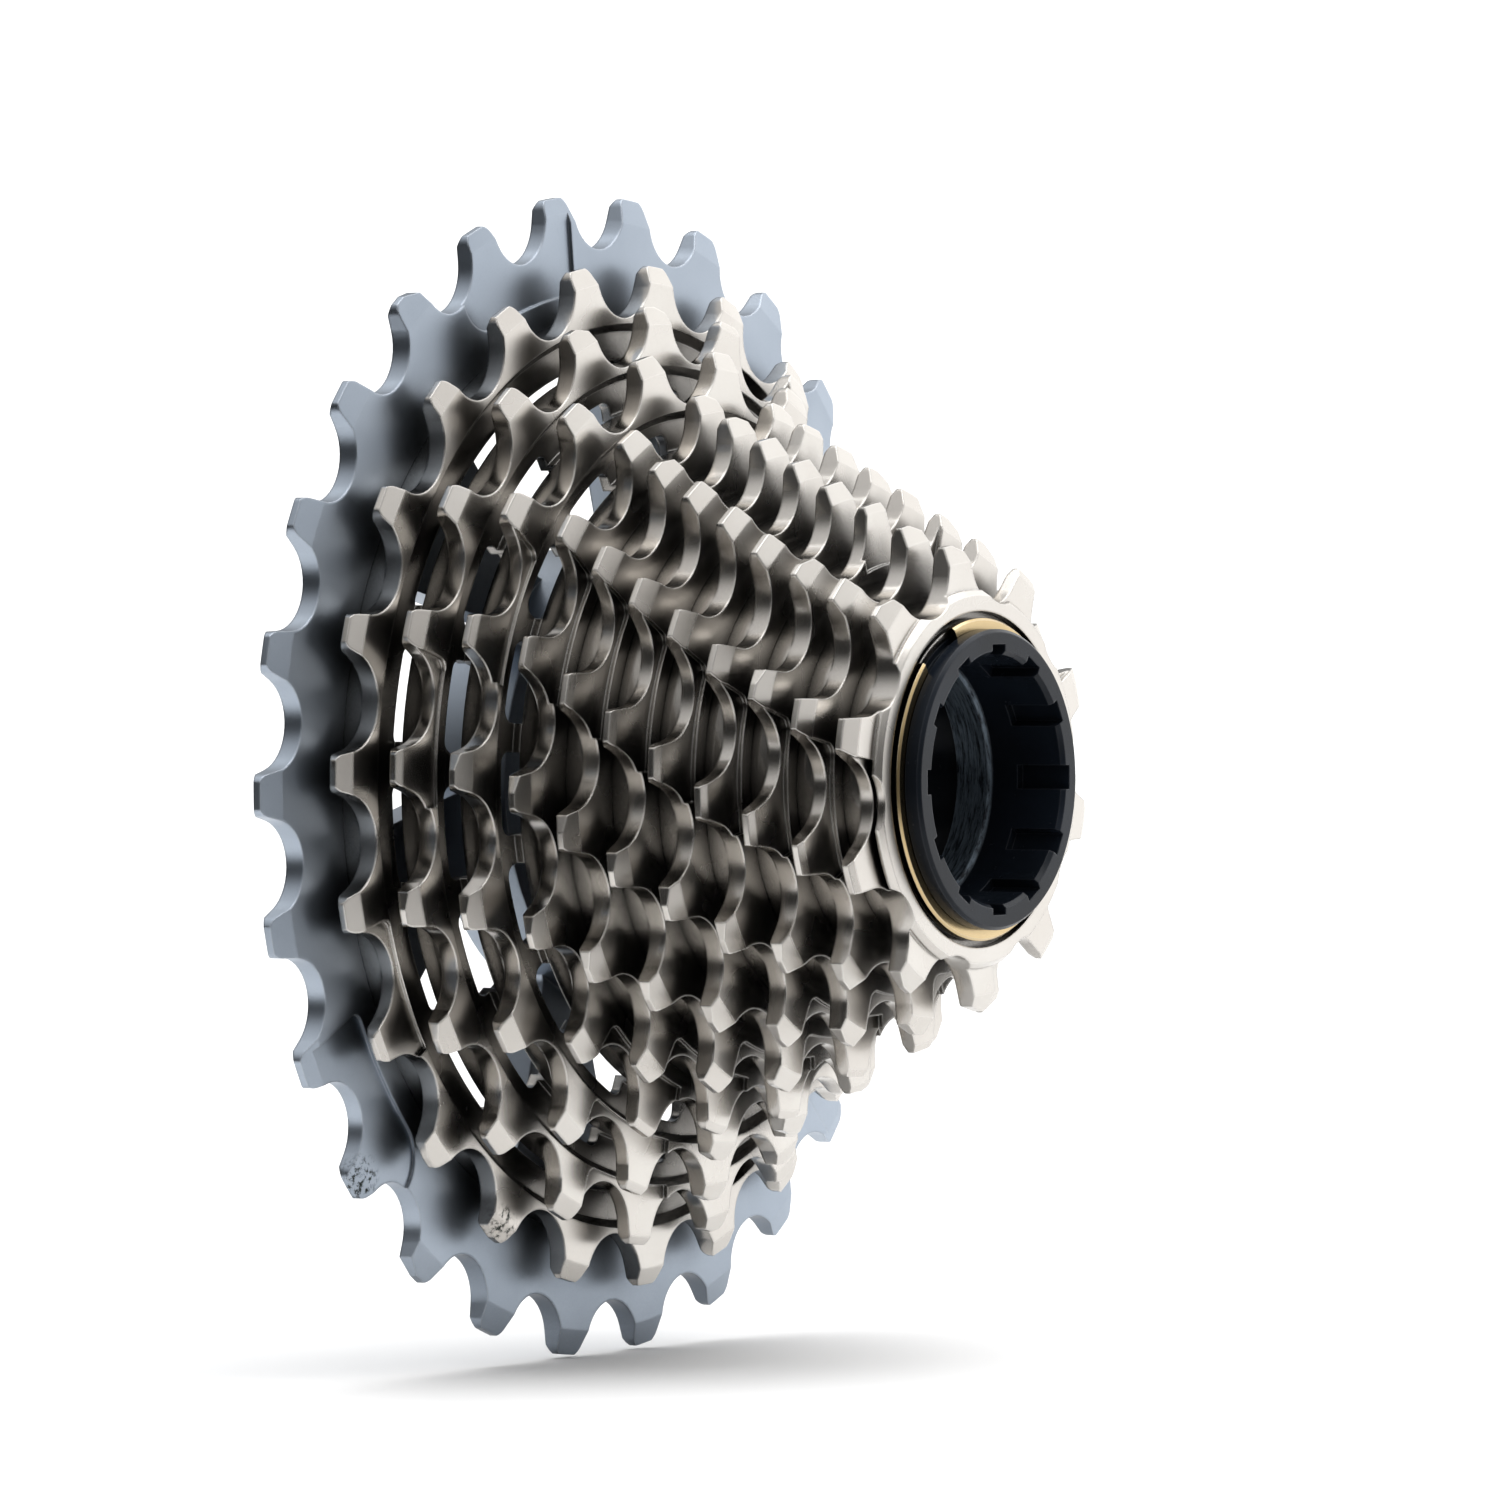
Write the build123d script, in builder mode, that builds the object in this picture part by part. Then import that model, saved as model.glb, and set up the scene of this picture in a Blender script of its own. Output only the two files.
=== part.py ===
# Bicycle cassette sprocket: twelve sprockets of 10 to 26 teeth stacked on one axis, the eleven
# smaller ones of steel and the largest of aluminium with the spider that carries the hub splines,
# held to the hub by a threaded lock tube that turns freely in a split ring.
#
# Frame: millimetres, +Z up, the spin axis along Y.  The origin is on that axis in the inboard end
# face, which seats against the hub.  Outboard is -Y, so "reach" below is the distance from the
# origin towards -Y.  Angles are in degrees from +X towards +Z.
import math
import os

from build123d import *

# chain and stack
CHAIN_PITCH = 12.7
SPROCKET_PITCH = 3.64
TEETH = (26, 23, 21, 19, 17, 16, 15, 14, 13, 12, 11, 10)
FIRST_FRONT = 5.0

# tooth form: depth of the gap floor below the pitch circle, and radius of that floor
STEEL_DROP = 4.25
ALLOY_DROP = 3.9
STEEL_SEAT = 4.5
ALLOY_SEAT = 4.3
TOOTH_HEIGHT = 5.0
TOOTH_TAPER = 14.5
TIP_ROUND = 1.3
STEEL_BEVEL_REACH = 1.6
ALLOY_BEVEL_REACH = 2.3
TIP_BEVEL_DEPTH = 0.8
REAR_BEVEL_REACH = 0.8
REAR_BEVEL_DEPTH = 0.4
STEEL_THICKNESS = 1.8
ALLOY_THICKNESS = 1.9

# angle of one tooth gap on each sprocket, in stack order
GAP_ANGLE = (90.9, 92.6, 100.8, 112.0, 107.4, 109.0, 110.6, 112.1, 114.3, 114.4, 115.4, 114.0)

# shift gates: a gap whose next tooth is thinned from the front, then two teeth with a cut flank
GATE_GAP = (1, 7, 4, 2, 2, 2, 2, 2, 2, 2, 2, 2)
GATE_STEP = (8, 8, 5, 5, 4, 4, 4, 4, 3, 3, 3, 3)
GATE_COUNT = (3, 2, 4, 3, 4, 4, 3, 3, 3, 4, 3, 3)
STEEL_GATE_DEPTH = 0.45
ALLOY_GATE_DEPTH = 0.3
STEEL_GATE_FOOT = 0.55
ALLOY_GATE_FOOT = 4.0
STEEL_GATE_SPAN = (-0.36, 0.80)
ALLOY_GATE_SPAN = (-0.62, 0.95)

# drum walls between sprockets
DRUM_WALL = 1.6
SPIGOT_STEP = 0.6
SPIGOT_LENGTH = 1.0

# open webs of the 23, 21 and 19 tooth sprockets
WEB_RIM = 0.45
WEB_RECESS = 0.8
WINDOW_OUTER = (0.0, 38.6, 35.8, 32.0)
WINDOW_COUNT = 19
WINDOW_SPAN = 14.0
WINDOW_ANGLE = (0.0, 168.0, 168.5, 162.9)

# aluminium spider and hub splines
HUB_BORE = 17.3
HUB_OUTER = 21.0
HUB_LENGTH = 8.0
SPLINE_COUNT = 9
SPLINE_WIDTH = 2.6
SPLINE_DEPTH = 1.1
SPLINE_LENGTH = 5.0
ARM_COUNT = 6
ARM_ANGLE = 10.0
ARM_BACK = 1.8
RING_INNER = 38.4
# how far each edge of an arm lies from the arm's own angle, at the hub and at the outer ring
ARM_LEADING = (8.5, 22.0)
ARM_TRAILING = (-9.5, -3.0)
ARM_FILLET = 2.0
HUB_OVERLAP = 0.4

# pins that join the aluminium sprocket to the steel stack
PIN_COUNT = 12
PIN_RADIUS = 1.1
PIN_CIRCLE = 40.4
PIN_LENGTH = 3.3

# lock tube and its split ring
TUBE_FRONT = 47.85
TUBE_BACK = 20.0
TUBE_OUTER = 13.64
TUBE_CLEARANCE = 0.11
SOCKET_BORE = 11.35
NOTCH_RADIUS = 12.25
NOTCH_COUNT = 12
NOTCH_WIDTH = 2.2
NOTCH_LENGTH = 5.0
PILOT_BORE = 10.9
PILOT_FRONT = 40.2
PILOT_BACK = 36.6
RELIEF_BORE = 12.35
THREAD_BORE = 12.0
THREAD_FRONT = 30.0
FLANGE_RADIUS = 15.2
FLANGE_LENGTH = 2.0
FLOAT_TRAVEL = 0.4
FLOAT_GAP = 0.05
RING_GROOVE = 13.05
RING_BORE = 13.12
RING_OUTER = 14.65
RING_BACK = 45.47
RING_FRONT = 46.25
RING_PLAY = 0.05
RING_SPLIT_ANGLE = 122.0
RING_SPLIT = 5.8
RING_SPLIT_REACH = 12.0

# raised land of the smallest sprocket
LAND_RADIUS = 17.2
LAND_FRONT = 45.85
COUNTERBORE = 15.27
COUNTERBORE_FLOOR = 44.9
RING_SEAT = 14.4
RING_SEAT_FRONT = 45.45


def pitch_radius(index):
    return CHAIN_PITCH / 2 / math.sin(math.pi / TEETH[index])


def seat_radius(index):
    """Radius of the round gap floor."""
    return ALLOY_SEAT if index == 0 else STEEL_SEAT


def root_radius(index):
    return pitch_radius(index) - (ALLOY_DROP if index == 0 else STEEL_DROP)


def tip_radius(index):
    return root_radius(index) + TOOTH_HEIGHT


def front(index):
    return FIRST_FRONT + SPROCKET_PITCH * index


def tooth_angle(index):
    return 360.0 / TEETH[index]


def polar(radius, degrees):
    return (radius * math.cos(math.radians(degrees)), radius * math.sin(math.radians(degrees)))


def side(radius, reach):
    """A point of a half section on the XY plane: distance from the axis, and reach outboard."""
    return (radius, -reach)


def tooth_gap(index):
    """One gap between two teeth, opening along +X: round seat, straight flanks, rounded tips."""
    seat = seat_radius(index)
    centre = root_radius(index) + seat
    lean = math.radians(TOOTH_TAPER + tooth_angle(index) / 2)
    touch_in = centre - seat * math.sin(lean)
    touch_out = seat * math.cos(lean)
    turn_x = tip_radius(index) - TIP_ROUND - 0.15
    leave_x = turn_x + TIP_ROUND * math.sin(lean)
    leave_y = touch_out + (leave_x - touch_in) * math.tan(lean)
    turn_y = leave_y + TIP_ROUND * math.cos(lean)
    middle = (math.pi / 2 - lean) / 2
    middle_x = turn_x + TIP_ROUND * math.cos(middle)
    middle_y = turn_y - TIP_ROUND * math.sin(middle)
    edge_x = turn_x + TIP_ROUND
    beyond = tip_radius(index) + 1.5
    with BuildSketch(mode=Mode.PRIVATE) as gap:
        with BuildLine():
            Line((beyond, -turn_y), (edge_x, -turn_y))
            ThreePointArc((edge_x, -turn_y), (middle_x, -middle_y), (leave_x, -leave_y))
            Line((leave_x, -leave_y), (touch_in, -touch_out))
            ThreePointArc((touch_in, -touch_out), (centre - seat, 0), (touch_in, touch_out))
            Line((touch_in, touch_out), (leave_x, leave_y))
            ThreePointArc((leave_x, leave_y), (middle_x, middle_y), (edge_x, turn_y))
            Line((edge_x, turn_y), (beyond, turn_y))
            Line((beyond, turn_y), (beyond, -turn_y))
        make_face()
    return gap.sketch


def cut_flank(index):
    """The corner taken off a tooth just past a shift gate, for a tooth that stands at +X."""
    half = tooth_angle(index) / 2
    with BuildSketch(mode=Mode.PRIVATE) as corner:
        with BuildLine():
            Polyline(
                polar(pitch_radius(index) - 0.6, -0.66 * half),
                polar(tip_radius(index) + 0.6, 0.20 * half),
                polar(tip_radius(index) + 2.0, -1.0 * half),
                close=True,
            )
        make_face()
    return corner.sketch


def gate_places(index):
    """The gaps, counted from the first, where a shift gate starts."""
    return [GATE_GAP[index] + GATE_STEP[index] * turn for turn in range(GATE_COUNT[index])]


def tooth_profile(index):
    """The whole toothed outline, on the XY plane, before it is thickened."""
    pitch = tooth_angle(index)
    gap = tooth_gap(index)
    corner = cut_flank(index)
    with BuildSketch(mode=Mode.PRIVATE) as outline:
        Circle(tip_radius(index))
        with PolarLocations(0, TEETH[index], GAP_ANGLE[index]):
            add(gap, mode=Mode.SUBTRACT)
        for gate in gate_places(index):
            for later in (1, 2) if index else (1,):
                angle = GAP_ANGLE[index] + (gate + later + 0.5) * pitch
                with Locations(Rotation(0, 0, angle)):
                    add(corner, mode=Mode.SUBTRACT)
    return outline.sketch


def gate_pocket(index, gate):
    """The area thinned from the front at one shift gate: the tooth after the gap and its foot."""
    pitch = tooth_angle(index)
    before, after = ALLOY_GATE_SPAN if index == 0 else STEEL_GATE_SPAN
    start = GAP_ANGLE[index] + (gate + before) * pitch
    end = GAP_ANGLE[index] + (gate + after) * pitch
    inner = root_radius(index) - (ALLOY_GATE_FOOT if index == 0 else STEEL_GATE_FOOT)
    outer = tip_radius(index) + 1.0
    middle = (start + end) / 2
    with BuildSketch(mode=Mode.PRIVATE) as pocket:
        with BuildLine():
            Line(polar(outer, start), polar(inner, start))
            ThreePointArc(polar(inner, start), polar(inner, middle), polar(inner, end))
            Line(polar(inner, end), polar(outer, end))
            ThreePointArc(polar(outer, end), polar(outer, middle), polar(outer, start))
        make_face()
        fillet(pocket.vertices().sort_by_distance(polar(inner, start))[0], 1.2)
        if index == 0:
            fillet(pocket.vertices().sort_by_distance(polar(inner, end))[0], 4.0)
    return pocket.sketch


def thicken(outline, back, thickness, mode=Mode.ADD):
    """Extrude a flat outline outboard from the plane at reach back."""
    with BuildSketch(Plane.XZ.offset(back)) as flat:
        add(outline)
    extrude(flat.sketch, amount=thickness, mode=mode)


def thicken_around(outline, count, first, back, thickness, mode=Mode.ADD):
    """Extrude a flat outline repeated evenly around the axis, the first copy at angle first."""
    with BuildSketch(Plane.XZ.offset(back)) as flat:
        with PolarLocations(0, count, first):
            add(outline)
    extrude(flat.sketch, amount=thickness, mode=mode)


def disc(radius, back, thickness, mode=Mode.ADD):
    with BuildSketch(Plane.XZ.offset(back)) as flat:
        Circle(radius)
    extrude(flat.sketch, amount=thickness, mode=mode)


def turn_away(points):
    """Turn a half section about the axis and remove what it sweeps."""
    with BuildSketch(Plane.XY) as section:
        with BuildLine():
            Polyline(*points, close=True)
        make_face()
    revolve(section.sketch, axis=Axis.Y, mode=Mode.SUBTRACT)


def bevel_tips(index, thickness):
    tip = tip_radius(index)
    reach = ALLOY_BEVEL_REACH if index == 0 else STEEL_BEVEL_REACH
    near = front(index)
    far = near - thickness
    turn_away(
        (
            side(tip - reach, near + 1.0),
            side(tip - reach, near),
            side(tip, near - TIP_BEVEL_DEPTH),
            side(tip + 1.0, near - TIP_BEVEL_DEPTH),
            side(tip + 1.0, near + 1.0),
        )
    )
    turn_away(
        (
            side(tip - REAR_BEVEL_REACH, far - 1.0),
            side(tip - REAR_BEVEL_REACH, far),
            side(tip, far + REAR_BEVEL_DEPTH),
            side(tip + 1.0, far + REAR_BEVEL_DEPTH),
            side(tip + 1.0, far - 1.0),
        )
    )


def gate_pockets(index):
    return [gate_pocket(index, gate) for gate in gate_places(index)]


def cut_gates(index, pockets):
    depth = ALLOY_GATE_DEPTH if index == 0 else STEEL_GATE_DEPTH
    for pocket in pockets:
        thicken(pocket, front(index) - depth, depth + 0.5, Mode.SUBTRACT)


def web_window(index):
    """One opening of an open web, centred on +X, with round outer corners."""
    outer = WINDOW_OUTER[index]
    inner = root_radius(index + 1) - DRUM_WALL - SPIGOT_STEP - 1.0
    half = WINDOW_SPAN / 2
    with BuildSketch(mode=Mode.PRIVATE) as window:
        with BuildLine():
            Line(polar(inner, -half), polar(outer, -half))
            ThreePointArc(polar(outer, -half), (outer, 0), polar(outer, half))
            Line(polar(outer, half), polar(inner, half))
            Line(polar(inner, half), polar(inner, -half))
        make_face()
        fillet(window.vertices().sort_by(Axis.X)[-2:], 1.1)
    return window.sketch


def cut_windows(index, window, back, thickness):
    thicken_around(window, WINDOW_COUNT, WINDOW_ANGLE[index], back, thickness, Mode.SUBTRACT)


def steel_sprocket(index):
    """A toothed steel disc with the drum wall that reaches back to the next larger sprocket."""
    near = front(index)
    far = near - STEEL_THICKNESS
    drum = root_radius(index)
    seat = front(index - 1)
    tube_bore = TUBE_OUTER + TUBE_CLEARANCE
    smallest = index == len(TEETH) - 1
    bore = tube_bore if smallest else root_radius(index + 1) - SPIGOT_STEP
    wall = max(drum - DRUM_WALL, tube_bore)
    pinned = index == 1
    open_web = index in (1, 2, 3)
    bridged = index - 1 in (1, 2, 3)
    teeth = tooth_profile(index)
    pockets = gate_pockets(index)
    window = web_window(index) if open_web else None
    bridge = web_window(index - 1) if bridged else None
    with BuildPart() as sprocket:
        thicken(teeth, far, STEEL_THICKNESS)
        bevel_tips(index, STEEL_THICKNESS)
        cut_gates(index, pockets)
        disc(drum, seat, far - seat)
        if not pinned:
            disc(drum - SPIGOT_STEP, seat - SPIGOT_LENGTH, SPIGOT_LENGTH)
        if pinned:
            disc(PIN_CIRCLE - 2.0, seat - 1.0, far - seat + 1.0, Mode.SUBTRACT)
        else:
            disc(wall, seat - SPIGOT_LENGTH - 1.0, far - seat + SPIGOT_LENGTH + 1.0, Mode.SUBTRACT)
        disc(bore, far - 1.0, STEEL_THICKNESS + 2.0, Mode.SUBTRACT)
        if open_web:
            rim = drum - WEB_RIM
            foot = root_radius(index + 1)
            turn_away(
                (
                    side(foot, near + 1.0),
                    side(foot, near - WEB_RECESS),
                    side(rim - WEB_RECESS, near - WEB_RECESS),
                    side(rim, near),
                    side(rim, near + 1.0),
                )
            )
            cut_windows(index, window, far - 0.1, STEEL_THICKNESS + 0.2)
        if bridged:
            cut_windows(index - 1, bridge, seat - SPIGOT_LENGTH - 0.1, SPIGOT_LENGTH + 0.1)
        if pinned:
            with BuildSketch(Plane.XZ.offset(seat)):
                with PolarLocations(PIN_CIRCLE, PIN_COUNT, ARM_ANGLE):
                    Circle(PIN_RADIUS)
            extrude(amount=PIN_LENGTH - ALLOY_THICKNESS, mode=Mode.SUBTRACT)
    return sprocket.part


def smallest_sprocket():
    """The ten tooth sprocket, with the raised land that the split ring sits in."""
    index = len(TEETH) - 1
    near = front(index)
    disc_and_drum = steel_sprocket(index)
    gap = tooth_gap(index)
    with BuildPart() as sprocket:
        add(disc_and_drum)
        with BuildSketch(Plane.XZ.offset(near)):
            Circle(LAND_RADIUS)
            with PolarLocations(0, TEETH[index], GAP_ANGLE[index]):
                add(gap, mode=Mode.SUBTRACT)
        extrude(amount=LAND_FRONT - near)
        turn_away(
            (
                side(LAND_RADIUS - 0.5, LAND_FRONT + 1.0),
                side(LAND_RADIUS - 0.5, LAND_FRONT),
                side(LAND_RADIUS, LAND_FRONT - 0.5),
                side(LAND_RADIUS + 0.5, LAND_FRONT - 0.5),
                side(LAND_RADIUS + 0.5, LAND_FRONT + 1.0),
            )
        )
        disc(TUBE_OUTER + TUBE_CLEARANCE, near - 5.0, 10.0, Mode.SUBTRACT)
        turn_away(
            (
                side(TUBE_OUTER, LAND_FRONT + 1.0),
                side(TUBE_OUTER, RING_SEAT_FRONT),
                side(RING_SEAT, RING_SEAT_FRONT),
                side(RING_SEAT, COUNTERBORE_FLOOR),
                side(COUNTERBORE, COUNTERBORE_FLOOR),
                side(COUNTERBORE, LAND_FRONT + 1.0),
            )
        )
    return sprocket.part


def spider_opening():
    """The gap between one arm of the spider and the next, for an arm that stands at +X."""
    spacing = 360.0 / ARM_COUNT
    inner = HUB_OUTER - HUB_OVERLAP
    first = (polar(inner, ARM_LEADING[0]), polar(RING_INNER, ARM_LEADING[1]))
    last = (polar(inner, spacing + ARM_TRAILING[0]), polar(RING_INNER, spacing + ARM_TRAILING[1]))
    inner_middle = polar(inner, spacing / 2)
    outer_middle = polar(RING_INNER, spacing / 2)
    with BuildSketch(mode=Mode.PRIVATE) as opening:
        with BuildLine():
            Line(first[0], first[1])
            ThreePointArc(first[1], outer_middle, last[1])
            Line(last[1], last[0])
            ThreePointArc(last[0], inner_middle, first[0])
        make_face()
        fillet(opening.vertices(), ARM_FILLET)
    return opening.sketch


def largest_sprocket():
    """The aluminium sprocket: toothed rim, six-armed spider and splined hub in one piece."""
    near = FIRST_FRONT
    far = near - ALLOY_THICKNESS
    teeth = tooth_profile(0)
    pockets = gate_pockets(0)
    opening = spider_opening()
    with BuildPart() as sprocket:
        thicken(teeth, far, ALLOY_THICKNESS)
        bevel_tips(0, ALLOY_THICKNESS)
        cut_gates(0, pockets)
        disc(RING_INNER + 1.0, ARM_BACK, near - ARM_BACK)
        turn_away(
            (
                side(RING_INNER - 0.5, ARM_BACK - 1.0),
                side(RING_INNER - 0.5, ARM_BACK),
                side(RING_INNER + 1.0, far),
                side(RING_INNER + 1.5, far - 1.0),
            )
        )
        thicken_around(opening, ARM_COUNT, ARM_ANGLE, ARM_BACK - 0.5, near + 1.0, Mode.SUBTRACT)
        disc(HUB_OUTER, 0, HUB_LENGTH)
        disc(HUB_BORE, -1.0, HUB_LENGTH + 2.0, Mode.SUBTRACT)
        with BuildSketch(Plane.XZ):
            with PolarLocations(HUB_BORE, SPLINE_COUNT, 90.0):
                Rectangle(2 * SPLINE_DEPTH, SPLINE_WIDTH)
        extrude(amount=SPLINE_LENGTH, mode=Mode.SUBTRACT)
        with BuildSketch(Plane.XZ.offset(far - 1.0)):
            with PolarLocations(PIN_CIRCLE, PIN_COUNT, ARM_ANGLE):
                Circle(PIN_RADIUS)
        extrude(amount=ALLOY_THICKNESS + 2.0, mode=Mode.SUBTRACT)
    return sprocket.part


def write(part, name):
    part.label = name
    export_step(part, "parts/" + name + ".step")


os.makedirs("parts", exist_ok=True)

# ---- sprockets, largest to smallest
write(largest_sprocket(), "sprocket_26t")
for place in range(1, len(TEETH) - 1):
    write(steel_sprocket(place), "sprocket_" + str(TEETH[place]) + "t")
write(smallest_sprocket(), "sprocket_10t")

# ---- pins between the aluminium sprocket and the steel stack
with BuildPart() as sprocket_pins:
    with BuildSketch(Plane.XZ.offset(FIRST_FRONT - ALLOY_THICKNESS)):
        with PolarLocations(PIN_CIRCLE, PIN_COUNT, ARM_ANGLE):
            Circle(PIN_RADIUS)
    extrude(amount=PIN_LENGTH)
write(sprocket_pins.part, "sprocket_pins")

# ---- lock tube: tool notches at the front, thread at the back, a flange that keeps it in
spigot_end = front(len(TEETH) - 2) - SPIGOT_LENGTH
flange_front = spigot_end - FLOAT_TRAVEL - FLOAT_GAP
with BuildPart() as lock_tube:
    with BuildSketch(Plane.XY):
        with BuildLine():
            Polyline(
                side(THREAD_BORE + 0.8, TUBE_BACK),
                side(TUBE_OUTER - 0.4, TUBE_BACK),
                side(TUBE_OUTER, TUBE_BACK + 0.4),
                side(TUBE_OUTER, flange_front - FLANGE_LENGTH),
                side(FLANGE_RADIUS, flange_front - FLANGE_LENGTH),
                side(FLANGE_RADIUS, flange_front),
                side(TUBE_OUTER, flange_front),
                side(TUBE_OUTER, RING_BACK - RING_PLAY),
                side(RING_GROOVE, RING_BACK - RING_PLAY),
                side(RING_GROOVE, RING_FRONT + RING_PLAY),
                side(TUBE_OUTER, RING_FRONT + RING_PLAY),
                side(TUBE_OUTER, TUBE_FRONT - 0.3),
                side(TUBE_OUTER - 0.3, TUBE_FRONT),
                side(SOCKET_BORE + 0.35, TUBE_FRONT),
                side(SOCKET_BORE, TUBE_FRONT - 0.35),
                side(SOCKET_BORE, PILOT_FRONT),
                side(PILOT_BORE, PILOT_FRONT - 0.3),
                side(PILOT_BORE, PILOT_BACK),
                side(RELIEF_BORE, PILOT_BACK - 0.6),
                side(RELIEF_BORE, THREAD_FRONT),
                side(THREAD_BORE, THREAD_FRONT),
                side(THREAD_BORE, TUBE_BACK + 0.8),
                close=True,
            )
        make_face()
    revolve(axis=Axis.Y)
    with BuildSketch(Plane.XZ.offset(TUBE_FRONT - NOTCH_LENGTH)):
        with PolarLocations(SOCKET_BORE - 0.2, NOTCH_COUNT, 90.0):
            Rectangle(2 * (NOTCH_RADIUS - SOCKET_BORE + 0.2), NOTCH_WIDTH)
    extrude(amount=NOTCH_LENGTH + 1.0, mode=Mode.SUBTRACT)
write(lock_tube.part, "lock_tube")

# ---- split ring that sits in the tube's groove and bears on the ten tooth sprocket
with BuildPart() as retaining_ring:
    with BuildSketch(Plane.XZ.offset(RING_BACK)):
        Circle(RING_OUTER)
        Circle(RING_BORE, mode=Mode.SUBTRACT)
        with Locations(Rotation(0, 0, RING_SPLIT_ANGLE)):
            with Locations((RING_OUTER, 0)):
                Rectangle(2 * RING_SPLIT_REACH, RING_SPLIT, mode=Mode.SUBTRACT)
    extrude(amount=RING_FRONT - RING_BACK)
    chamfer(retaining_ring.edges().filter_by(GeomType.CIRCLE).group_by(Axis.Y)[0], 0.2)
write(retaining_ring.part, "retaining_ring")
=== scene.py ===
import bpy
from mathutils import Matrix, Vector


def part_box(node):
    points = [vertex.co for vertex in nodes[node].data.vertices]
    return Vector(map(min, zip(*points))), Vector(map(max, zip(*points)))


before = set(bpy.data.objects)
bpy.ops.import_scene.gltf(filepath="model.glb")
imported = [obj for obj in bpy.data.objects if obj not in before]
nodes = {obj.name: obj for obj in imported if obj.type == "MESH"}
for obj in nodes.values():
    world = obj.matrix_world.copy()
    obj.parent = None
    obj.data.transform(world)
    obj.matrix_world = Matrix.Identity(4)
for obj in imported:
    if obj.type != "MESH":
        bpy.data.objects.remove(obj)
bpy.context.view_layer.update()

ALLOY = "sprocket_26t"
STEEL = [name for name in nodes if name.startswith("sprocket_") and name.endswith("t") and name != ALLOY]

BLACK = (0.0, 0.0, 0.0, 1.0)
# the metals' edge colour: partly rubbed metal, partly a painted highlight
WORN_AND_HIGHLIT_METAL = (0.80, 0.79, 0.77, 1.0)
SCUFF_DIRT = (0.030, 0.034, 0.030, 1.0)
CHIP_SCALE = 1500.0

# how far the rounded normal may agree with the true one: below the first value an edge is fully
# marked, as rubbing and on the metals also as a painted highlight, above the second not at all
EDGE_AGREEMENT = (0.90, 0.995)

# metals: how far a normal lies along the spin axis, on what counts as a wall and as a face
WALL_TO_FACE = (0.6, 0.95)
# metals: marks of turning, clouding and speckle, and how walls differ from faces
LATHE_RING_SCALE = 11000.0
LATHE_RING_SHARE = 0.35
WALL_MARK_SCALE = 4200.0
WALL_MARK_SQUASH = 0.05
WALL_MARK_SHARE = 0.4
CLOUD_SCALE = 70.0
SPECK_SCALE = 4200.0
SPECK_SHARE = 0.25
# painted shade: how much more the walls are darkened in hollows than the faces
WALL_PAINTED_SHADE = 2.2
WALL_GLOSS = 0.09
GRAIN_DEPTH = 0.000006
# metals: the same measure where the cones at the tooth tips start and end, and how far their
# shading leans towards the flat face
CONE_STARTS = (0.80, 0.87)
CONE_ENDS = (0.999, 0.985)
CONE_LEAN = 1.6

# the lock tube: its rounding, its coating and the plain band behind the tool socket
TUBE_EDGE = 0.00018
TUBE_DEEP = (0.010, 0.013, 0.018, 1.0)
TUBE_CLOUDED = (0.015, 0.020, 0.029, 1.0)
TUBE_RUBBED = (0.24, 0.29, 0.34, 1.0)
TUBE_WORN = (0.10, 0.105, 0.12, 1.0)
TUBE_WEAR = 0.35
TUBE_IOR = 1.31
TUBE_GRAIN_DEPTH = 0.00002
BAND_FRONT = (-0.0403, -0.0401)
BAND_BACK = (-0.0364, -0.0366)
BAND_RADIUS = (0.0115, 0.0111)

# floor, in metres
FLOOR_DROP = 0.0002
FLOOR_REACH = 0.3
FLOOR_FADE = (0.12, 0.25)

# brightness of the backdrop as the camera sees it, and of the surroundings outside the glows
BACKDROP = 1.1
SURROUND_BASE = 0.05


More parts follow.
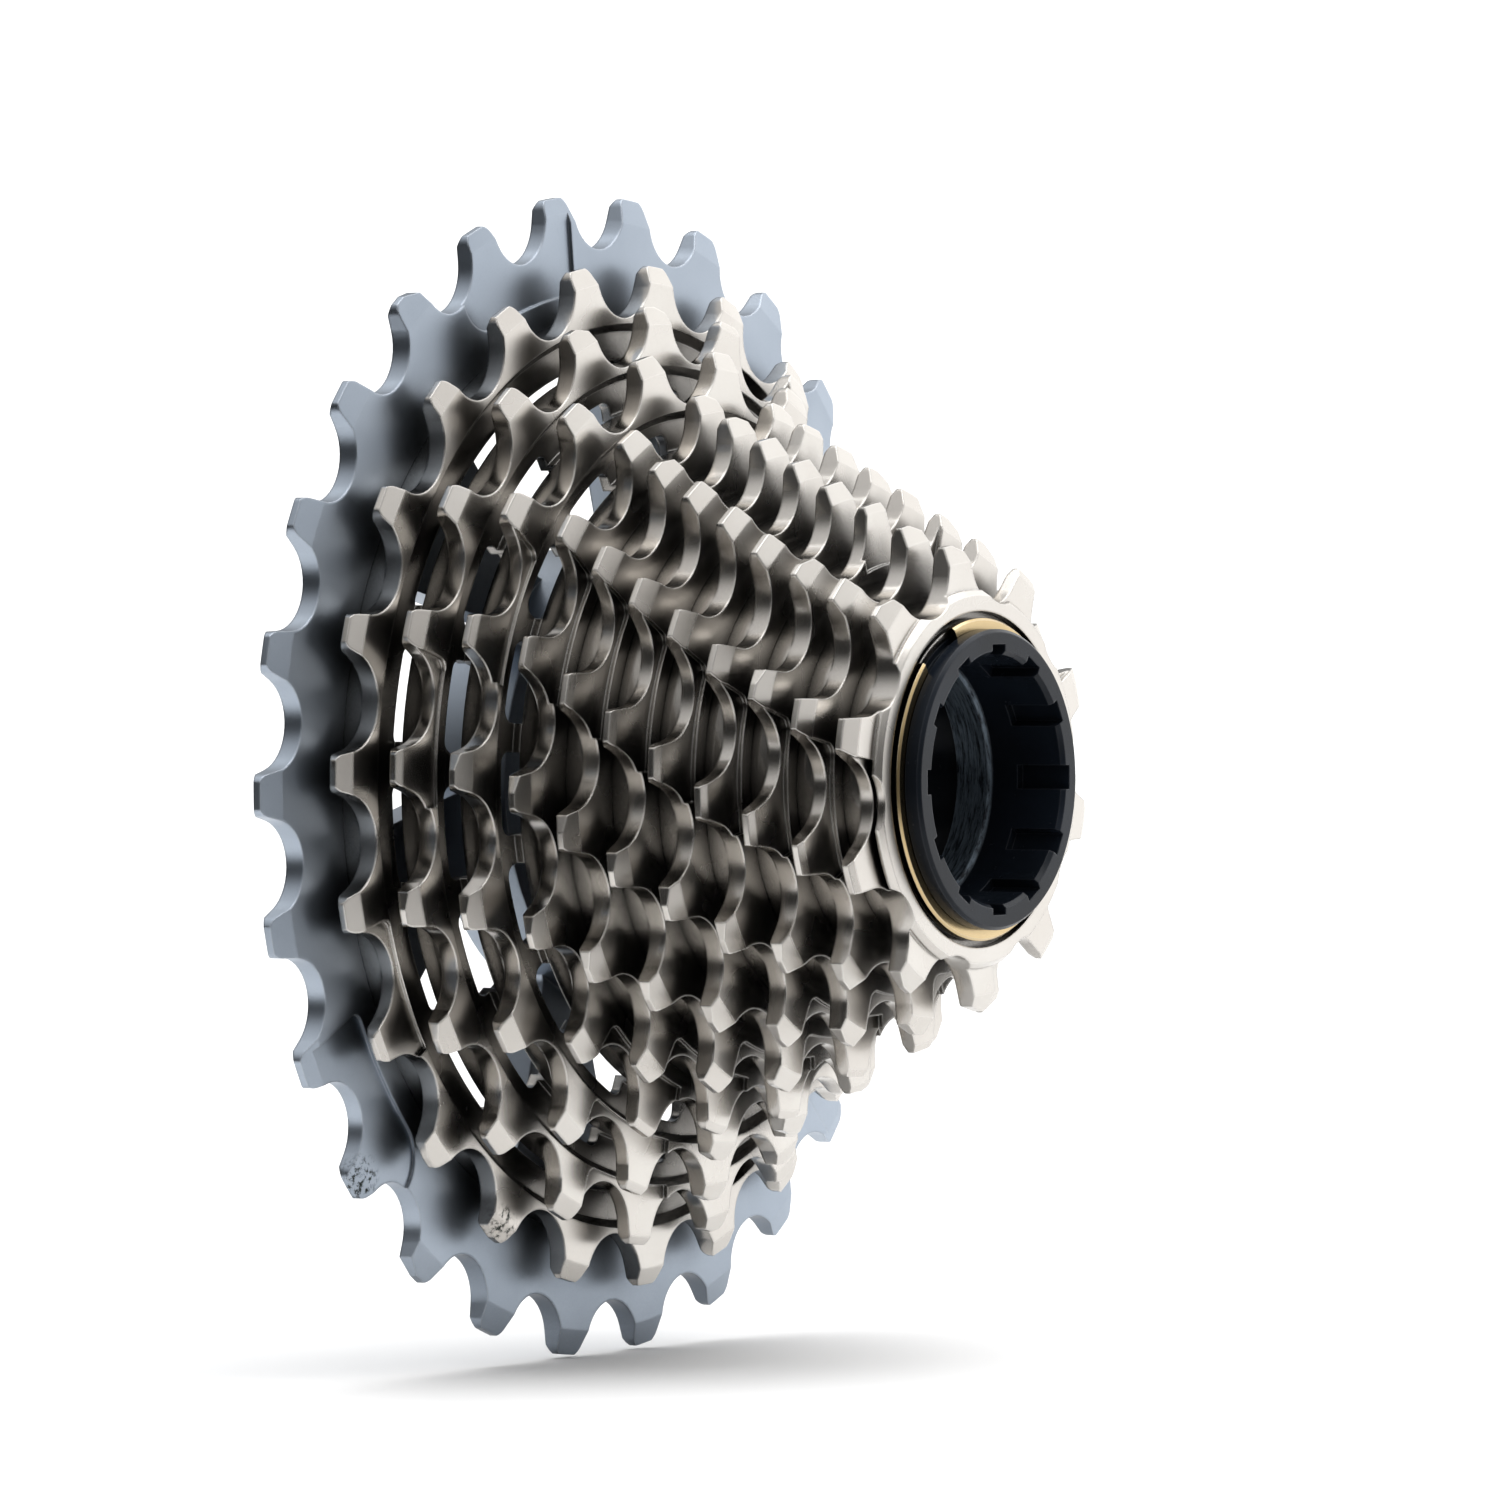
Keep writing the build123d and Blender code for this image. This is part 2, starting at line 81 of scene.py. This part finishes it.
# ---------------------------------------------------------------- node helpers
class Graph:
    """Adds shader nodes to one new material and joins them."""

    def __init__(self, name):
        self.material = bpy.data.materials.new(name)
        self.material.use_nodes = True
        self.tree = self.material.node_tree
        self.tree.nodes.clear()
        self.out = self.tree.nodes.new("ShaderNodeOutputMaterial")
        self.bsdf = self.tree.nodes.new("ShaderNodeBsdfPrincipled")
        self.join(self.bsdf.outputs[0], self.out.inputs["Surface"])
        self.coords = self.tree.nodes.new("ShaderNodeTexCoord").outputs["Object"]

    def join(self, source, target):
        """Feed a socket from another socket, a number or a tuple."""
        if isinstance(source, (int, float, tuple)):
            target.default_value = source
        else:
            self.tree.links.new(source, target)

    def math(self, operation, a, b=0.0):
        node = self.tree.nodes.new("ShaderNodeMath")
        node.operation = operation
        self.join(a, node.inputs[0])
        self.join(b, node.inputs[1])
        return node.outputs[0]

    def vector(self, operation, a, b=(0.0, 0.0, 0.0)):
        node = self.tree.nodes.new("ShaderNodeVectorMath")
        node.operation = operation
        self.join(a, node.inputs[0])
        self.join(b, node.inputs[1])
        return node.outputs["Value"] if operation in ("DOT_PRODUCT", "LENGTH") else node.outputs["Vector"]

    def split(self, value):
        node = self.tree.nodes.new("ShaderNodeSeparateXYZ")
        self.join(value, node.inputs[0])
        return node.outputs

    def combine(self, x, y, z):
        node = self.tree.nodes.new("ShaderNodeCombineXYZ")
        for socket, value in zip(node.inputs, (x, y, z)):
            self.join(value, socket)
        return node.outputs[0]

    def noise(self, where, scale, detail=3.0, rough=0.55):
        node = self.tree.nodes.new("ShaderNodeTexNoise")
        self.join(where, node.inputs["Vector"])
        node.inputs["Scale"].default_value = scale
        node.inputs["Detail"].default_value = detail
        node.inputs["Roughness"].default_value = rough
        return node.outputs["Fac"]

    def span(self, value, low, high, out_low=0.0, out_high=1.0):
        """Take low..high to out_low..out_high, held at both ends."""
        node = self.tree.nodes.new("ShaderNodeMapRange")
        self.join(value, node.inputs["Value"])
        node.inputs["From Min"].default_value = low
        node.inputs["From Max"].default_value = high
        node.inputs["To Min"].default_value = out_low
        node.inputs["To Max"].default_value = out_high
        return node.outputs["Result"]

    def mix(self, factor, a, b):
        node = self.tree.nodes.new("ShaderNodeMix")
        node.data_type = "RGBA"
        self.join(factor, node.inputs["Factor"])
        self.join(a, node.inputs[6])
        self.join(b, node.inputs[7])
        return node.outputs[2]

    def bump(self, height, strength, distance, normal):
        node = self.tree.nodes.new("ShaderNodeBump")
        node.inputs["Strength"].default_value = strength
        node.inputs["Distance"].default_value = distance
        self.join(height, node.inputs["Height"])
        self.join(normal, node.inputs["Normal"])
        return node.outputs[0]

    def soft_edge(self, radius):
        """The normal as if every edge were rounded to this radius."""
        node = self.tree.nodes.new("ShaderNodeBevel")
        node.samples = 4
        node.inputs["Radius"].default_value = radius
        return node.outputs[0]

    def occlusion(self, distance):
        """Ambient occlusion: 1 in the open, falling to 0 in a hollow; the metals use it to paint shade."""
        node = self.tree.nodes.new("ShaderNodeAmbientOcclusion")
        node.samples = 6
        node.inputs["Distance"].default_value = distance
        return node.outputs["AO"]

    def true_normal(self):
        return self.tree.nodes.new("ShaderNodeNewGeometry").outputs["True Normal"]

    def set(self, **values):
        """Set the surface shader's inputs by name, with _ for a space."""
        for name, value in values.items():
            self.join(value, self.bsdf.inputs[name.replace("_", " ")])


def turned_tangent(graph):
    """The direction of the lathe marks, around the spin axis Y, and the three coordinates."""
    x, y, z = graph.split(graph.coords)
    flat = graph.combine(z, 0.0, graph.math("MULTIPLY", x, -1.0))
    return graph.vector("NORMALIZE", flat), x, y, z


def edge_mask(graph, soft, hard):
    """1 where the surface rounds over an edge."""
    edge_marked, whole = EDGE_AGREEMENT
    return graph.span(graph.vector("DOT_PRODUCT", soft, hard), whole, edge_marked)


def scuff(graph, tone, place, size):
    """A dirty, chipped patch of the given size about one point, on tones that already exist."""
    away = graph.vector("LENGTH", graph.vector("SUBTRACT", graph.coords, place))
    patch = graph.span(away, size, size * 0.5)
    chips = graph.span(graph.noise(graph.coords, CHIP_SCALE, 5.0, 0.75), 0.50, 0.60)
    return graph.mix(graph.math("MULTIPLY", patch, chips), tone, SCUFF_DIRT)


def metal(name, tones, rough, aniso, grain, wear_and_highlight, edge=0.00016, blend=0.0003,
          shade=0.06, reach=0.009, shut=0.12, clear=0.68, scuffs=()):
    """A turned metal.

    tones: its plain, clouded and speckled colours. wear_and_highlight: how bright the edges are made,
    partly as rubbing and partly as a painted highlight.
    edge, blend: rounding of the brightened edges and of the shading. shade: what is left of the colour in
    a hollow under the painted shade. reach, shut, clear: how far the painted shade of a hollow is felt, and
    where it counts as closed and open.
    """
    plain, clouded, speckled = tones
    graph = Graph(name)
    tangent, x, y, z = turned_tangent(graph)
    radius = graph.vector("LENGTH", graph.combine(x, 0.0, z))
    hard = graph.true_normal()
    soft = graph.soft_edge(blend)
    facing = graph.math("ABSOLUTE", graph.split(hard)[1])
    face = graph.span(facing, *WALL_TO_FACE)

    # marks of turning: rings on the faces, fine lines along the walls
    rings = graph.noise(graph.combine(radius, 0.0, 0.0), LATHE_RING_SCALE, 1.0)
    squashed = graph.combine(x, graph.math("MULTIPLY", y, WALL_MARK_SQUASH), z)
    along = graph.noise(squashed, WALL_MARK_SCALE, 1.0)
    on_face = graph.math("MULTIPLY", rings, graph.math("MULTIPLY", face, LATHE_RING_SHARE))
    on_wall = graph.math("MULTIPLY", along, graph.span(face, 0.0, 1.0, WALL_MARK_SHARE, 0.0))
    marks = graph.math("ADD", on_face, on_wall)
    cloud = graph.noise(graph.coords, CLOUD_SCALE, 4.0)
    speck = graph.noise(graph.coords, SPECK_SCALE, 2.0, 0.6)

    # colour: clouded and speckled, with painted shade in hollows that is darkest on their walls, and edges
    # brightened partly by rubbing and partly as a painted highlight
    edge_marked = edge_mask(graph, graph.soft_edge(edge), hard)
    # painted shade: ambient occlusion mixes the colour towards black in hollows, more on walls than on
    # faces
    ao_open_share = graph.span(graph.occlusion(reach), shut, clear)
    free_of_painted_shade = graph.math("POWER", ao_open_share, graph.span(face, 0.0, 1.0, WALL_PAINTED_SHADE, 1.0))
    tone = graph.mix(graph.span(cloud, 0.3, 0.7), plain, clouded)
    tone = graph.mix(graph.math("MULTIPLY", graph.span(speck, 0.55, 0.80), SPECK_SHARE), tone, speckled)
    tone = graph.mix(free_of_painted_shade, graph.mix(shade, BLACK, tone), tone)
    # painted highlight, partly rubbing: the edges are mixed towards a pale metal
    tone = graph.mix(graph.math("MULTIPLY", edge_marked, wear_and_highlight), tone, WORN_AND_HIGHLIT_METAL)
    for place, size in scuffs:
        tone = scuff(graph, tone, place, size)

    # roughness: uneven with the marks and clouds, glossier on the walls
    gloss = graph.math("ADD", graph.span(marks, 0.25, 0.75, rough - 0.03, rough + 0.04),
                       graph.span(cloud, 0.3, 0.7, -0.02, 0.03))
    gloss = graph.math("SUBTRACT", gloss, graph.span(face, 0.0, 1.0, WALL_GLOSS, 0.0))
    height = graph.math("ADD", graph.math("MULTIPLY", marks, 0.6), graph.math("MULTIPLY", speck, 0.5))

    # the cones at the tooth tips, front and rear, shade nearer to the flat face than they lie
    cone = graph.math("MULTIPLY", graph.span(facing, *CONE_STARTS), graph.span(facing, *CONE_ENDS))
    lean = graph.math("MULTIPLY", graph.math("MULTIPLY", graph.split(hard)[1], CONE_LEAN), cone)
    soft = graph.vector("NORMALIZE", graph.vector("ADD", soft, graph.combine(0.0, lean, 0.0)))
    normal = graph.bump(height, grain, GRAIN_DEPTH, soft)
    graph.set(Base_Color=tone, Metallic=1.0, Roughness=gloss, Anisotropic=aniso,
              Tangent=tangent, Normal=normal)
    return graph.material


def tube_black():
    """The lock tube's black coating, and the band in it that is rubbed through."""
    graph = Graph("tube_black")
    x, y, z = graph.split(graph.coords)
    radius = graph.vector("LENGTH", graph.combine(x, 0.0, z))
    hard = graph.true_normal()
    soft = graph.soft_edge(TUBE_EDGE)
    speck = graph.noise(graph.coords, 1400.0, 4.0, 0.7)
    cloud = graph.noise(graph.coords, 90.0, 4.0)
    lathe = graph.noise(graph.combine(0.0, y, 0.0), 7000.0, 2.0)
    band = graph.math("MULTIPLY", graph.span(y, *BAND_FRONT), graph.span(y, *BAND_BACK))
    band = graph.math("MULTIPLY", band, graph.span(radius, *BAND_RADIUS))
    scratch = graph.noise(graph.combine(x, graph.math("MULTIPLY", y, 9.0), z), 420.0, 5.0, 0.75)
    rubbed = graph.math("MULTIPLY", band, graph.span(scratch, 0.38, 0.62))
    edge_marked = edge_mask(graph, soft, hard)
    tone = graph.mix(graph.span(cloud, 0.35, 0.65), TUBE_DEEP, TUBE_CLOUDED)
    tone = graph.mix(rubbed, tone, TUBE_RUBBED)
    tone = graph.mix(graph.math("MULTIPLY", edge_marked, TUBE_WEAR), tone, TUBE_WORN)
    gloss = graph.math("ADD", graph.span(speck, 0.3, 0.7, 0.20, 0.28), graph.math("MULTIPLY", rubbed, 0.15))
    height = graph.math("ADD", speck, graph.math("MULTIPLY", lathe, 0.6))
    normal = graph.bump(height, 0.30, TUBE_GRAIN_DEPTH, soft)
    graph.set(Base_Color=tone, Metallic=graph.math("MULTIPLY", rubbed, 0.6), Roughness=gloss, Normal=normal)
    graph.set(IOR=TUBE_IOR)
    return graph.material


# ---------------------------------------------------------------- materials
steel = metal(
    "satin_steel",
    ((0.58, 0.56, 0.53, 1.0), (0.55, 0.522, 0.488, 1.0), (0.44, 0.412, 0.382, 1.0)),
    rough=0.30, aniso=0.35, grain=0.25, wear_and_highlight=0.45,
    scuffs=[((-0.0221, -0.0082, -0.0403), 0.0022)])
alloy = metal(
    "grey_alloy",
    ((0.40, 0.445, 0.505, 1.0), (0.37, 0.415, 0.475, 1.0), (0.30, 0.34, 0.395, 1.0)),
    rough=0.45, aniso=0.2, grain=0.25, wear_and_highlight=0.22,
    shade=0.40, reach=0.018, shut=0.15, clear=0.6,
    scuffs=[((-0.0388, -0.0046, -0.0355), 0.0026)])
pins = metal(
    "pin_steel",
    ((0.42, 0.41, 0.39, 1.0), (0.37, 0.36, 0.34, 1.0), (0.28, 0.27, 0.25, 1.0)),
    rough=0.34, aniso=0.2, grain=0.3, wear_and_highlight=0.3)
brass = metal(
    "ring_brass",
    ((0.56, 0.44, 0.26, 1.0), (0.50, 0.39, 0.22, 1.0), (0.38, 0.28, 0.15, 1.0)),
    rough=0.28, aniso=0.3, grain=0.25, wear_and_highlight=0.3,
    edge=0.00010, blend=0.00012, shade=0.3, reach=0.003)
black = tube_black()


# ---------------------------------------------------------------- put materials on the pieces
def dress(name, material):
    piece = nodes[name]
    piece.data.materials.clear()
    piece.data.materials.append(material)


for name in STEEL:
    dress(name, steel)
dress(ALLOY, alloy)
dress("sprocket_pins", pins)
dress("lock_tube", black)
dress("retaining_ring", brass)


# ---------------------------------------------------------------- floor and light
def floor():
    """A pale sheet just below the largest sprocket."""
    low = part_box("sprocket_26t")[0].z - FLOOR_DROP
    mesh = bpy.data.meshes.new("floor")
    far = FLOOR_REACH
    corners = [(-far, -far, low), (far, -far, low), (far, far, low), (-far, far, low)]
    mesh.from_pydata(corners, [], [(0, 1, 2, 3)])
    thing = bpy.data.objects.new("floor", mesh)
    bpy.context.scene.collection.objects.link(thing)
    graph = Graph("pale_floor")
    soft = graph.noise(graph.coords, 3.0, 3.0)
    graph.set(Base_Color=graph.mix(soft, (0.93, 0.93, 0.93, 1.0), (0.96, 0.96, 0.96, 1.0)), Roughness=0.9)
    # the sheet fades out around its rim, so it ends in the white of the backdrop
    x, y = graph.split(graph.coords)[:2]
    away = graph.vector("LENGTH", graph.combine(x, y, 0.0))
    fade = graph.tree.nodes.new("ShaderNodeMixShader")
    clear = graph.tree.nodes.new("ShaderNodeBsdfTransparent")
    graph.join(graph.span(away, *FLOOR_FADE), fade.inputs[0])
    graph.join(graph.bsdf.outputs[0], fade.inputs[1])
    graph.join(clear.outputs[0], fade.inputs[2])
    graph.join(fade.outputs[0], graph.out.inputs["Surface"])
    mesh.materials.append(graph.material)


def softbox(name, place, aim, size, power):
    """A white rectangular lamp at place, turned towards aim."""
    light = bpy.data.lights.new(name, "AREA")
    light.shape = "RECTANGLE"
    light.size, light.size_y = size
    light.energy = power
    lamp = bpy.data.objects.new(name, light)
    lamp.location = place
    lamp.rotation_euler = (Vector(aim) - Vector(place)).to_track_quat("-Z", "Y").to_euler()
    bpy.context.scene.collection.objects.link(lamp)


def studio_air():
    """An even white backdrop for the camera, and for the metals to reflect a bright right side, a
    fair overhead, a faint front and hardly anything elsewhere."""
    world = bpy.data.worlds.new("studio")
    bpy.context.scene.world = world
    world.use_nodes = True
    tree = world.node_tree
    background = tree.nodes["Background"]
    coords = tree.nodes.new("ShaderNodeTexCoord").outputs["Generated"]

    def glow(direction, low, high, strength):
        """Rise to strength as the view turns towards direction, from cosine low to cosine high."""
        toward = tree.nodes.new("ShaderNodeVectorMath")
        toward.operation = "DOT_PRODUCT"
        tree.links.new(coords, toward.inputs[0])
        toward.inputs[1].default_value = direction
        fade = tree.nodes.new("ShaderNodeMapRange")
        fade.interpolation_type = "SMOOTHSTEP"
        tree.links.new(toward.outputs["Value"], fade.inputs["Value"])
        fade.inputs["From Min"].default_value = low
        fade.inputs["From Max"].default_value = high
        fade.inputs["To Max"].default_value = strength
        return fade.outputs["Result"]

    def add(a, b):
        node = tree.nodes.new("ShaderNodeMath")
        node.operation = "ADD"
        for socket, value in zip(node.inputs, (a, b)):
            if isinstance(value, float):
                socket.default_value = value
            else:
                tree.links.new(value, socket)
        return node.outputs[0]

    right = glow((0.97, -0.25, 0.0), low=0.58, high=0.96, strength=1.3)
    overhead = glow((0.0, 0.0, 1.0), low=0.1, high=0.9, strength=0.8)
    front = glow((0.0, -1.0, 0.0), low=0.0, high=1.0, strength=0.14)
    around = add(add(add(right, overhead), front), SURROUND_BASE)
    choose = tree.nodes.new("ShaderNodeMix")
    choose.data_type = "FLOAT"
    tree.links.new(tree.nodes.new("ShaderNodeLightPath").outputs["Is Camera Ray"], choose.inputs["Factor"])
    tree.links.new(around, choose.inputs["A"])
    choose.inputs["B"].default_value = BACKDROP
    tree.links.new(choose.outputs["Result"], background.inputs["Strength"])
    background.inputs["Color"].default_value = (1.0, 1.0, 1.0, 1.0)


floor()
studio_air()
MIDDLE = (0.0, -0.02, 0.0)
softbox("top_light", place=(0.25, -0.15, 1.1), aim=MIDDLE, size=(1.4, 1.4), power=10.0)
softbox("left_light", place=(-1.1, -0.10, 0.45), aim=MIDDLE, size=(0.5, 0.7), power=1.0)

# ---------------------------------------------------------------- camera
# the photograph's own place and directions, fitted to the tooth gaps
CAMERA_PLACE = (-0.77316, -0.52218, 0.01916)
CAMERA_RIGHT = (0.5439, -0.8391, -0.0027)
CAMERA_BACK = (-0.8389, -0.5439, 0.0181)
SENSOR_WIDTH = 36.0
FOCAL_LENGTH = 240.5

lens = bpy.data.cameras.new("camera")
lens.sensor_width = SENSOR_WIDTH
lens.lens = FOCAL_LENGTH
lens.clip_start = 0.01
lens.clip_end = 50.0
camera = bpy.data.objects.new("camera", lens)
right = Vector(CAMERA_RIGHT).normalized()
back = Vector(CAMERA_BACK)
back = (back - right * back.dot(right)).normalized()
up = back.cross(right)
turn = Matrix((right, up, back)).transposed().to_4x4()
camera.matrix_world = Matrix.Translation(CAMERA_PLACE) @ turn
bpy.context.scene.collection.objects.link(camera)
bpy.context.scene.camera = camera
bpy.context.scene.view_settings.view_transform = "Standard"
bpy.context.scene.view_settings.look = "Medium High Contrast"
